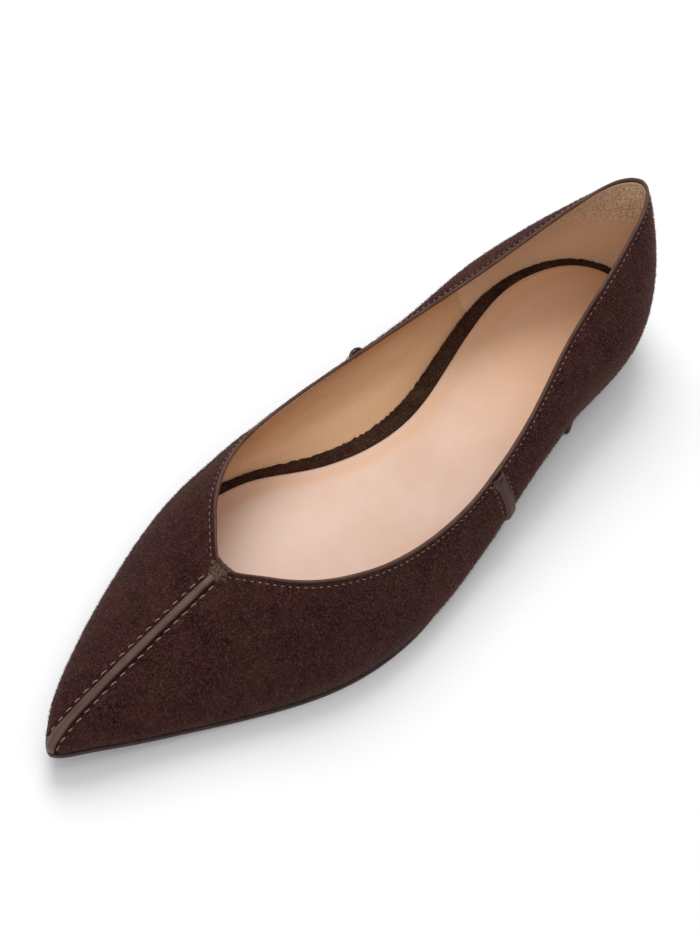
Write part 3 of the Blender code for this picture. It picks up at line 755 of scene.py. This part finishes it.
# Insole colours: pale and deep clouds, a paler front that is painted light, and the heel's tan, which also
# paints the shade beside the band.
SOCK = sock_leather("sock", (0.718, 0.513, 0.405), (0.650, 0.415, 0.298), (0.815, 0.595, 0.485),
                    (0.730, 0.435, 0.262))
COTTON = thread_cotton("thread", (0.43, 0.30, 0.245), (0.21, 0.126, 0.095))
LOOP_THREAD = thread_cotton("loop_thread", (0.40, 0.27, 0.21), (0.17, 0.10, 0.075))
TAB_CORD = thread_cotton("tab_cord", (0.085, 0.036, 0.028), (0.048, 0.018, 0.014))
FRAY = thread_cotton("frayed_thread", (0.27, 0.158, 0.112), (0.095, 0.046, 0.032))
EDGE = sole_finish("sole_edge", (0.030, 0.0120, 0.0100), (0.052, 0.025, 0.020), 0.55)
RUBBER = sole_finish("lift_rubber", (0.018, 0.014, 0.014), (0.045, 0.036, 0.034), 0.6)


# Upper and nap

TAB_PLACES = {name: float(tab_position(name, 0.0, 0.5)) for name in TABS}


def channel(distance, width, depth):
    """A soft sewn channel beside a line."""
    return -depth * np.exp(-(distance / width) ** 2)


def suede_relief(grid, levels):
    """How far the suede stands off the last's wall: sewn channels, folds by the strips and soft creases."""
    x, y = grid[..., 0], grid[..., 1]
    level = levels[:, None]
    from_seam = np.abs(x - wall(0.0, levels)[:, :1])
    on_vamp = 1 / (1 + np.exp(-(y - SEAM_FROM_Y) / 1.5))
    crevice = channel(from_seam - STRIP_HALF_WIDTH - 0.2, 0.3, 0.4)
    row = np.where(x > wall(0.0, levels)[:, :1], SEAM_STITCHES[1], SEAM_STITCHES[-1])
    beside_seam = channel(from_seam - row, 0.4, 0.2) + channel(from_seam - 3.1, 0.6, -0.12)
    relief = on_vamp * (crevice + beside_seam)
    under = below_top(grid)
    relief += channel(under - TOPLINE_STITCHES, 0.5, 0.2) + channel(under, 1.1, 0.38)
    for tab, (side, _, _) in TABS.items():
        beside = np.abs(y - tab_y(tab, level))
        relief += (np.sign(x) == side) * channel(beside - TAB_STITCHES, 0.6, 0.28)
        relief += (np.sign(x) == side) * channel(beside - 2.6, 0.5, -0.22)
    for side, at_y, at_level, reach, height, out in CREASES:
        fade = np.exp(-((y - at_y) / reach) ** 2 - ((level - at_level) / height) ** 2)
        relief += (np.sign(x) == side) * out * fade
    return relief


def make_nap(name, grid, weight):
    """Short suede fibres that stand off the wall, brushed downwards."""
    bases, up, along, out = scattered(grid, weight, NAP_FIBRES)
    lie = RANDOM.normal(0.0, 0.55, (NAP_FIBRES, 2))
    rising = RANDOM.uniform(0.5, 1.1, (NAP_FIBRES, 1))
    direction = unit(out * rising + up * (lie[:, :1] - 0.4) + along * lie[:, 1:])
    lengths = RANDOM.gamma(5.0, 0.11, NAP_FIBRES).clip(0.25, 0.95)
    fibres(name, bases - out * 0.03, direction, lengths, NAP_RADIUS, NAP)


def make_upper():
    """The suede upper with its turned-in margin, and the fibres that stand off it."""
    s = around(620, (0.0, *TAB_PLACES.values()), width=9.0, density=5.0)
    levels = 1.0 - (1.0 - np.linspace(0.0, 1.0, 72)) ** 1.35
    bare = wall(s[None], levels[:, None])
    normals = wall_normal(s[None], levels[:, None])
    outer = bare + normals * suede_relief(bare, levels)[..., None]
    first = level_at_height(s, lambda y: feather_height(y) + UPPER_WALL, LINING_BACK - UPPER_WALL)
    inner = []
    for t in np.linspace(1.0, 0.0, 13):
        level = first + (1.0 - first) * t
        inner.append(offset_wall(s, level, LINING_BACK - wall_thickness(level)))
    margin = inward_step(bare[0], LASTING_MARGIN + UPPER_WALL)
    margin[:, 2] = feather_height(margin[:, 1])
    rings = np.concatenate([outer, inner, [margin + [0.0, 0.0, UPPER_WALL], margin]])
    loft("suede_upper", rings, SUEDE, True, ["upper"], smooth_deg=60.0)

    x, y = outer[:-1, :, 0], outer[:-1, :, 1]
    level = levels[:-1, None]
    bare_leather = below_top(outer)[:-1] < NAP_FROM_TOPLINE
    bare_leather |= (np.abs(x - wall(0.0, levels[:-1])[:, :1]) < NAP_FROM_SEAM) & (y > SEAM_FROM_Y + 2.0)
    for tab, (side, _, _) in TABS.items():
        bare_leather |= (np.abs(y - tab_y(tab, level)) < NAP_FROM_TAB) & (np.sign(x) == side)
    for name, there in (("vamp_nap", y > VAMP_FROM_Y), ("quarter_nap", y <= VAMP_FROM_Y)):
        make_nap(name, outer, np.where(there & ~bare_leather, 1.0, 0.0))


# Inside: lining, heel grip, insole and its band

def cove(s):
    """How far the foot of the lining swells inwards over the insole's corner: most at the inner waist."""
    foot = LOOP(s)[..., :2]
    return np.where(foot[..., 0] < 0, rising_curve(INNER_COVE, foot[..., 1]), 0.0)


def lining_depth(s, level):
    """How far the lining's inner face lies inside the upper's outer one."""
    bare = wall(s, level)
    over_insole = bare[..., 2] - insole_top(bare[..., 1])
    return wall_thickness(level) + cove(s) * np.exp(-(np.maximum(over_insole - 0.3, 0.0) / 2.5) ** 2)


def make_lining():
    """The thin leather lining all round, and the grainy heel grip laid over it."""
    s = around(420, (0.0,), width=12.0, density=2.0)
    levels = np.linspace(0.0, 1.0, 26)
    low = level_at_height(s, lambda y: insole_underside(y) + 0.4, -UPPER_WALL)
    level = low[None] + (LINING_TOP - low[None]) * levels[:, None]
    face = offset_wall(s[None], level, -lining_depth(s[None], level))
    back = offset_wall(s[None], level, LINING - wall_thickness(level))
    ups = np.concatenate([level, level[::-1]])
    # level runs up the lining; the tan lining paints shade by it towards the topline.
    loft("lining", np.concatenate([face, back[::-1]]), TAN, True, values={"level": ups})

    ends = [float(position_where(1, GRIP_FRONT_Y, 0.6, *span))
            for span in ((0.25 * ROUND, HEEL_POSITION), (HEEL_POSITION, 0.75 * ROUND))]
    s = np.linspace(*ends, 150)
    low = level_at_height(s, lambda y: insole_top(y) + 0.3, -UPPER_WALL)
    level = low[:, None] + (GRIP_TOP - low[:, None]) * np.linspace(0.0, 1.0, 30)[None]
    depth = lining_depth(s[:, None], level)
    face = offset_wall(s[:, None], level, -depth - GRIP_LEATHER)
    back = offset_wall(s[:, None], level, -depth - 0.02)
    rings = np.concatenate([face, back[:, ::-1]], axis=1)
    ups = np.concatenate([level, level[:, ::-1]], axis=1)
    loft("heel_grip", rings, GRIP, False, values={"level": ups})


def make_insole():
    """The padded insole with its soft edge and the crease a little inside it."""
    share = drawn_to_ends(np.linspace(0.0, 1.0, 152)[1:-1], 0.6)
    lateral, medial = share * HEEL_POSITION, ROUND + share * (HEEL_POSITION - ROUND)
    clear = UPPER_WALL + GAP
    tops = [wall_at_height(s, insole_top, -clear) for s in (lateral, medial)]
    bottoms = [wall_at_height(s, insole_underside, -clear) for s in (lateral, medial)]
    across = drawn_to_ends(np.linspace(0.0, 1.0, 61), 0.5)
    width = np.linalg.norm(tops[0] - tops[1], axis=-1)[:, None]
    from_edge = np.minimum(across, 1 - across)[None] * width
    full = np.clip(width / 40.0, 0.0, 1.0)
    height = PAD_CROWN * full * np.clip(from_edge / (0.5 * width), 0, 1) ** 0.7
    band = rising_curve(RIM_WIDTH, tops[0][:, 1])[:, None]
    from_inner = (1 - across)[None] * width
    from_crease = from_inner - band - PAD_CREASE_FROM_BAND
    crease = np.exp(-(from_crease / 1.7) ** 2) * np.clip(width / 30.0 - 0.4, 0.0, 1.0)
    height -= PAD_CREASE * crease
    top = tops[0][:, None] * (1 - across)[None, :, None] + tops[1][:, None] * across[None, :, None]
    top[..., 2] += height
    rings = np.concatenate([top, bottoms[1][:, None], bottoms[0][:, None]], axis=1)
    # Painted shade, with a painted warm reflection of the lining, beside the band. Together with the
    # crease's painted shade it makes the mesh's edge.
    painted_band_shade = 0.75 * np.exp(-np.maximum(from_inner - band, 0.0) / 7.0)
    edge = np.concatenate([crease + painted_band_shade, np.zeros((len(share), 2))], axis=1)
    sock = loft("insole_sock", rings, SOCK, False, ["insole"], values={"edge": edge})


def make_band():
    """The suede band that covers the corner of insole and lining, with its rough upper edge."""
    s = around(520, (0.0,), width=12.0, density=2.0)
    clear = UPPER_WALL + 0.45
    ragged = 0.16 * np.sin(s * 1.7) * np.sin(s * 0.43 + 1.0) + RANDOM.normal(0.0, 0.10, len(s))

    def foot_height(y):
        return insole_top(y) + BAND_OVER_INSOLE

    corner = wall_at_height(s, foot_height, -clear)
    clear = clear + cove(s)
    level = level_at_height(s, foot_height, -clear[:, None])
    low = offset_wall(s, level, -clear)
    run = np.linalg.norm(offset_wall(s, level + 0.02, -clear) - low, axis=-1) / 0.02
    high = offset_wall(s, level + (BAND_UP_WALL + ragged) / run, -clear)
    inside = inward_step(corner, rising_curve(RIM_WIDTH, corner[:, 1]) + BAND_LAP)
    inside[:, 2] = insole_top(inside[:, 1]) + 0.25
    rows = [low, high]
    for t in np.linspace(0.12, 0.92, 9):
        middle = high * (1 - t) + (inside + [0.0, 0.0, 0.45]) * t
        rows.append(middle + np.array([0.0, 0.0, 0.35]) * math.sin(math.pi * t))
    rows += [inside + [0.0, 0.0, 0.35], inside + [0.0, 0.0, 0.05]]
    rings = np.stack(rows)
    loft("insole_band", rings, BAND, True, ["insole_rim"], smooth_deg=70.0)

    shown = rings[1:-1][::-1]
    bases, _, _, out = scattered(shown, np.ones((len(shown) - 1, len(s))), BAND_FIBRES)
    edge = RANDOM.choice(len(s), BAND_RIM_FIBRES)
    rim = high[edge] + RANDOM.normal(0.0, 0.15, (BAND_RIM_FIBRES, 3))
    bases = np.concatenate([bases, rim])
    out = np.concatenate([out, np.tile([[0.0, 0.0, 1.0]], (BAND_RIM_FIBRES, 1))])
    direction = unit(out + RANDOM.normal(0.0, 0.6, bases.shape))
    lengths = RANDOM.uniform(0.3, 0.7, len(bases))
    fibres("band_nap", bases, direction, lengths, BAND_FIBRE_RADIUS, NAP)


# Leather trim

def make_binding():
    """The folded edge, fuller over the side strips and blunt at the throat, and the lining's cut edge."""
    s = around(640, (0.0, *TAB_PLACES.values()), width=10.0, density=2.5)
    top, out = wall(s, 1.0), wall_normal(s, 1.0)
    up = unit(top - wall(s, 0.97))
    swell = np.zeros(len(s))
    for tab in TABS:
        swell += np.exp(-((s - float(tab_position(tab, 0.0, 1.0))) / 4.0) ** 2)
    wobble = 0.10 * np.sin(s * 0.31) + 0.08 * np.sin(s * 0.83 + 1.3)
    half = TOPLINE_WALL / 2
    inside = -TOPLINE_WALL - 0.12
    beside = np.where(top[:, 1] > VAMP_FROM_Y, np.abs(top[:, 0] - top[0, 0]), 99.0)
    short = THROAT_CUT - THROAT_SLOPE * beside
    blunt = (short + np.sqrt(short ** 2 + 0.2)) / 2
    lap = [(-0.06, -0.65), (0.03, -0.45), (0.06, -0.1)]
    crest = [(-half + (half + 0.09) * math.cos(a), 0.05 + 0.42 * math.sin(a))
             for a in np.linspace(0.15, math.pi - 0.15, 11)]
    hem = [(inside, -0.3), (inside, -0.9), (inside + 0.08, -1.25), (inside + 0.4, -1.25),
           (inside + 0.4, -0.2), (-0.35, -0.2), (-0.35, -0.65)]
    outline = lap + crest + hem
    rings = []
    for a, b in outline:
        outside = np.clip(a + 0.2, 0.0, 0.6)
        reach = a + outside * (swell + wobble)
        low = b * (1.0 + 0.05 * np.sin(s * 0.21 + 0.5)) + 0.12 * swell * (b > 0)
        if a < -0.4 or b > -0.4:
            low = low + blunt
        rings.append(top + out * reach[:, None] + up * low[:, None])
    # across is 1 on the outer lap against the suede, where the fold's dark rim paints the crevice's shade.
    outer = [1.0, 1.0, 0.8, *np.linspace(0.6, -0.6, len(crest)), *np.full(len(hem), -0.6)]
    sides = np.broadcast_to(np.array(outer)[:, None], (len(outline), len(s)))
    loft("topline_edge", np.stack(rings), FOLD, True, ["topline_binding"], smooth_deg=60.0,
         values={"across": sides})

    cut = ((inside + 0.4, -1.62), (inside + 0.4, -1.15), (inside - 0.08, -1.18), (inside - 0.16, -1.40),
           (inside - 0.08, -1.62))
    rings = [top + out * a + up * (b + blunt)[:, None] for a, b in cut]
    loft("lining_cut_edge", np.stack(rings), CUT, True, smooth_deg=70.0)


def raised_band(name, places, levels, half_width, raise_by, roundness, material, replaces, ends, dim=0.0):
    """A leather strip laid on the suede.  places(offset, level) gives the place round the shoe, roundness is
    2 for a half round and more for a flatter strip, ends says how much of its height it keeps along it and
    dim how far its rims' colour spreads over it at its foot."""
    across = np.sin(np.linspace(-0.5, 0.5, 17) * math.pi)
    crown = (1.0 - np.abs(across) ** roundness) ** 0.5
    uneven = 1.0 + 0.03 * np.sin(levels * 31.0) + 0.02 * np.sin(levels * 73.0)
    foot = np.sqrt(np.clip(1.0 - levels / 0.3, 0.0, 1.0))[:, None]
    width = half_width * (0.8 + 0.2 * ends + 0.3 * dim * foot[:, 0]) * uneven
    level = levels[:, None]
    s = places(across[None] * width[:, None], level)
    over = offset_wall(s, level, raise_by * crown[None] * ends[:, None] + 0.08)
    under = offset_wall(s, level, -0.25)
    rings = np.concatenate([over, under[:, ::-1]], axis=1)
    # On the vamp strip the dark rims are edge paint with painted shade of the crevice beside them; on the
    # side strips the pale rims are cut edges.
    sides = np.maximum(np.abs(np.concatenate([across, across[::-1]]))[None], dim * foot)
    loft(name, rings, material, False, replaces, smooth_deg=65.0, values={"across": sides})


def make_strips():
    """The strip over the vamp seam and the two over the side seams."""
    levels = np.linspace(*STRIP_SPAN, 120)
    ends = np.interp(levels, (0.0, 0.10, 0.25, 0.94, STRIP_SPAN[1]), (0.4, 0.7, 1.0, 1.0, 0.75))
    raised_band("vamp_seam_strip", seam_position, levels, STRIP_HALF_WIDTH, STRIP_RAISE, 2.0, STRIP,
                ["vamp_strip"], ends, dim=0.82)
    levels = np.linspace(*TAB_SPAN, 60)
    ends = np.interp(levels, (0.0, 0.05, 0.88, TAB_SPAN[1]), (0.8, 1.0, 1.0, 0.7))
    for tab in TABS:
        raised_band(f"side_seam_strip_{tab}", beside_tab(tab), levels, TAB_HALF_WIDTH, TAB_RAISE, 9.0, TAB,
                    [f"side_strip_{tab}"], ends)


# Stitching

def topline_row(distance, offset, span):
    """Points and normals along a row that runs at a distance below the topline: on the wall moved by offset,
    or on the lining if offset is None."""
    s = np.linspace(*span, 900)
    levels = np.linspace(0.55, 1.0, 61)
    under = below_top(wall(s[None], levels[:, None]))
    level = np.array([np.interp(-distance, -under[:, k], levels) for k in range(len(s))])
    out = wall_normal(s, level)
    if offset is None:
        return wall(s, level) - out * wall_thickness(level)[:, None], -out
    return wall(s, level) + out * offset, out


def seam_row(places, offset, levels):
    """Points and normals along a row that runs up the wall at an offset beside a seam."""
    s = places(offset, levels)
    return offset_wall(s, levels, -STITCH_BED), wall_normal(s, levels)


def make_stitches():
    """Every row of stitches: below the topline, on the lining, beside the vamp strip and the side strips."""
    tabs = [float(tab_position(tab, 0.0, 0.95)) for tab in TABS]
    starts = [ROW_FROM_THROAT, *(tab + ROW_FROM_TAB for tab in tabs)]
    ends = [*(tab - ROW_FROM_TAB for tab in tabs), ROUND - ROW_FROM_THROAT]
    rows = [topline_row(TOPLINE_STITCHES, -TOPLINE_BED, span) for span in zip(starts, ends)]
    stitches("topline_stitches", rows, COTTON, TOPLINE_PITCH, TOPLINE_STITCH, TOPLINE_SLANT, TOPLINE_THREAD)
    inner = [topline_row(INNER_STITCHES, None, (INNER_ROW_FROM_THROAT, ROUND - INNER_ROW_FROM_THROAT))]
    stitches("lining_stitches", inner, COTTON, TOPLINE_PITCH, INNER_STITCH, TOPLINE_SLANT, TOPLINE_THREAD)
    levels = np.linspace(*VAMP_ROW_SPAN, 160)
    rows = [seam_row(seam_position, side * SEAM_STITCHES[side], levels) for side in (-1, 1)]
    stitches("vamp_stitches", rows, COTTON, VAMP_PITCH, VAMP_STITCH, SEAM_SLANT, VAMP_THREAD)
    levels = np.linspace(*TAB_ROW_SPAN, 80)
    rows = [seam_row(beside_tab(tab), side * TAB_STITCHES, levels) for tab in TABS for side in (-1, 1)]
    stitches("side_stitches", rows, COTTON, TOPLINE_PITCH, TOPLINE_STITCH, SEAM_SLANT, TOPLINE_THREAD)


def thread_ends(name, places, starts, ends, heights, radius, material):
    """Loose thread ends on the wall.  starts and ends are (offset beside the line, level)."""
    steps = np.linspace(0.0, 1.0, 9)
    offset = starts[:, :1] * (1 - steps) + ends[:, :1] * steps
    level = starts[:, 1:] * (1 - steps) + ends[:, 1:] * steps
    s = places(offset, level)
    up = wall_normal(s, level)
    arch = heights[:, None] * np.sin(math.pi * steps) ** 0.7 - 0.1
    centres = wall(s, level) + up * arch[..., None]
    radii = np.broadcast_to(radius * (0.6 + 0.4 * np.sin(math.pi * steps)), centres.shape[:2])
    tubes(name, centres, up, radii, material, sides=5)


def make_thread_ends():
    """The frayed tuft over the end of the vamp strip, and the cords and loose threads at the side strips."""
    beside = RANDOM.normal(0.0, 1.35, TUFT_THREADS).clip(-2.9, 2.9)
    starts = np.stack([beside, RANDOM.uniform(0.966, 1.003, TUFT_THREADS)], axis=1)
    astray = RANDOM.normal(0.0, 0.9, TUFT_THREADS)
    ends = starts + np.stack([astray, RANDOM.normal(-0.002, 0.008, TUFT_THREADS)], axis=1)
    ends[:, 1] = ends[:, 1].clip(0.955, 1.008)
    over_fold = 0.55 * np.clip((starts[:, 1] - 0.98) / 0.015, 0.0, 1.0)
    heights = over_fold + RANDOM.uniform(0.3, 0.75, TUFT_THREADS) * (1.2 - 0.25 * np.abs(beside))
    thread_ends("throat_tuft", seam_position, starts, ends, heights, TUFT_RADIUS, FRAY)
    cords = np.array([(-3.4, 0.97), (1.9, 0.965)])
    tucked = np.array([(1.9, 0.95), (-1.6, 0.86)])
    loops = np.array([(-2.2, 0.94), (-1.9, 0.90), (-2.0, 0.86)])
    backs = np.array([(-4.2, 0.92), (-3.6, 0.87), (-2.6, 0.81)])
    for tab in TABS:
        places = beside_tab(tab)
        thread_ends(f"side_cords_{tab}", places, cords, tucked, np.array([1.5, 1.6]), CORD_RADIUS, TAB_CORD)
        thread_ends(f"side_loops_{tab}", places, loops, backs, np.array([0.7, 0.6, 0.5]), LOOP_RADIUS,
                    LOOP_THREAD)


# Sole and heel

def soft_edged(edges, near, far, reach, depth):
    """A ring round a thin slab between its outer and its inner edge.  Its corners are rounded by reach
    across the shoe and by depth through the slab, on the near face and on the far one."""
    turn = np.linspace(0.0, math.pi / 2, 5)
    corner = [(1 - math.sin(a), 1 - math.cos(a)) for a in turn]
    ring = []
    for side, edge in zip((1, -1), edges):
        arc = [(edge - side * reach[0] * sine, near + depth[0] * cosine) for sine, cosine in corner]
        arc += [(edge - side * reach[1] * cosine, far - depth[1] * sine) for sine, cosine in corner]
        ring += arc[::side]
    return ring


def make_outsole():
    """The thin sole with its rounded edge, turned down over the breast of the heel."""
    tip = SOLE_LENGTH + SOLE_WELT
    ys = np.concatenate([tip - 9.0 * np.linspace(0.02, 1.0, 26) ** 2, np.linspace(tip - 10.0, 64.0, 120)])
    left, right = edge_x(ys, -1, SOLE_EDGE), edge_x(ys, 1, SOLE_EDGE)
    low = sole_underside(ys)
    soft = np.minimum(0.55, (right - left) / 6)
    softness = (soft, soft * 0.5)
    section = soft_edged((right, left), low, low + SOLE_THICKNESS, softness, softness)
    rings = np.stack([np.stack([x, ys, z], axis=-1) for x, z in section], axis=1)
    flap_edges = [float(edge_x(HEEL_BREAST_Y, side, SOLE_EDGE)) + side * FLAP_PROUD for side in (1, -1)]
    face = HEEL_BREAST_Y + GAP + FLAP_THICKNESS
    centre = np.array([face + FLAP_TURN, SEAT_UNDERSIDE - FLAP_TURN])
    bows = (FLAP_TURN, FLAP_TURN + FLAP_THICKNESS)
    turned = [[centre + bow * np.array([-math.sin(a), math.cos(a)]) for bow in bows]
              for a in np.linspace(0.25, math.pi / 2, 9)]
    foot = np.array([face, 2 * GAP])
    turned.append((foot, foot - np.array([FLAP_THICKNESS, 0.0])))
    flap = []
    for front, back in turned:
        deep = back - front
        ring = soft_edged(flap_edges, front, back, (0.55, 0.3), (deep * 0.26, deep * 0.14))
        flap.append([(x, *yz) for x, yz in ring])
    rings = np.concatenate([rings, np.array(flap)])
    loft("outsole_edge", rings, EDGE, False, ["outsole"], smooth_deg=55.0)


def heel_form(name, levels, material, replaces):
    """A form under the heel seat, from the breast round the back."""
    plain = ((0.0, 0.0), (SOLE_LENGTH, 0.0))
    share = 1.004 - np.sin(np.linspace(0.0, math.pi / 2, 90))
    rings = []
    for height, sides, back in levels:
        y = back + (HEEL_BREAST_Y - back) * share
        x = [edge_x(share * HEEL_BREAST_Y, side, plain) * (1 - sides / HEEL_HALF_WIDTH) for side in (1, -1)]
        outline = [np.stack([xs, y, np.full(y.shape, height)], axis=-1) for xs in x]
        rings.append(np.concatenate([outline[0], outline[1][::-1]]))
    loft(name, rings, material, False, replaces, smooth_deg=45.0)


def make_heel():
    heel_form("heel_cover", HEEL_LEVELS, COVER, ["heel"])
    heel_form("heel_top_lift", TOP_LIFT_LEVELS, RUBBER, ["top_lift"])


# Stage

def make_stage():
    """White floor, and soft light from behind the inner side, from overhead and from the front."""
    white = Finish("white_floor", 0.6, specular=0.25)
    white.inputs["Base Color"].default_value = (0.985, 0.985, 0.99, 1.0)
    data = bpy.data.meshes.new("floor")
    corners = [(x * FLOOR_HALF, y * FLOOR_HALF, 0.0) for x, y in ((-1, -1), (1, -1), (1, 1), (-1, 1))]
    data.from_pydata(corners, [], [(0, 1, 2, 3)])
    data.materials.append(white.material)
    floor = added("floor", data)

    world = bpy.data.worlds.new("studio")
    world.use_nodes = True
    background = world.node_tree.nodes["Background"]
    background.inputs["Color"].default_value = (*WHITE, 1.0)
    background.inputs["Strength"].default_value = WORLD_LIGHT
    bpy.context.scene.world = world
    for name, (at, size, power) in LAMPS.items():
        lamp = bpy.data.lights.new(name, "AREA")
        lamp.shape = "DISK"
        lamp.size = size
        lamp.energy = power
        obj = added(name, lamp)
        obj.location = at
        obj.rotation_euler = (-Vector(at)).to_track_quat("-Z", "Y").to_euler()


def make_camera():
    """The camera at the photograph's viewpoint."""
    aim = Vector(CAMERA_AIM).normalized()
    right = Vector(CAMERA_RIGHT)
    right = (right - aim * right.dot(aim)).normalized()
    up = right.cross(aim)
    data = bpy.data.cameras.new("camera")
    data.lens = CAMERA_LENS
    data.sensor_width = CAMERA_SENSOR
    data.clip_start = 0.01
    camera = added("camera", data)
    turn = Matrix((right, up, -aim)).transposed().to_4x4()
    camera.matrix_world = Matrix.Translation(CAMERA_AT) @ turn
    bpy.context.scene.camera = camera
    bpy.context.scene.view_settings.view_transform = "Standard"


make_camera()
make_stage()
make_upper()
make_lining()
make_insole()
make_band()
make_binding()
make_strips()
make_stitches()
make_thread_ends()
make_outsole()
make_heel()
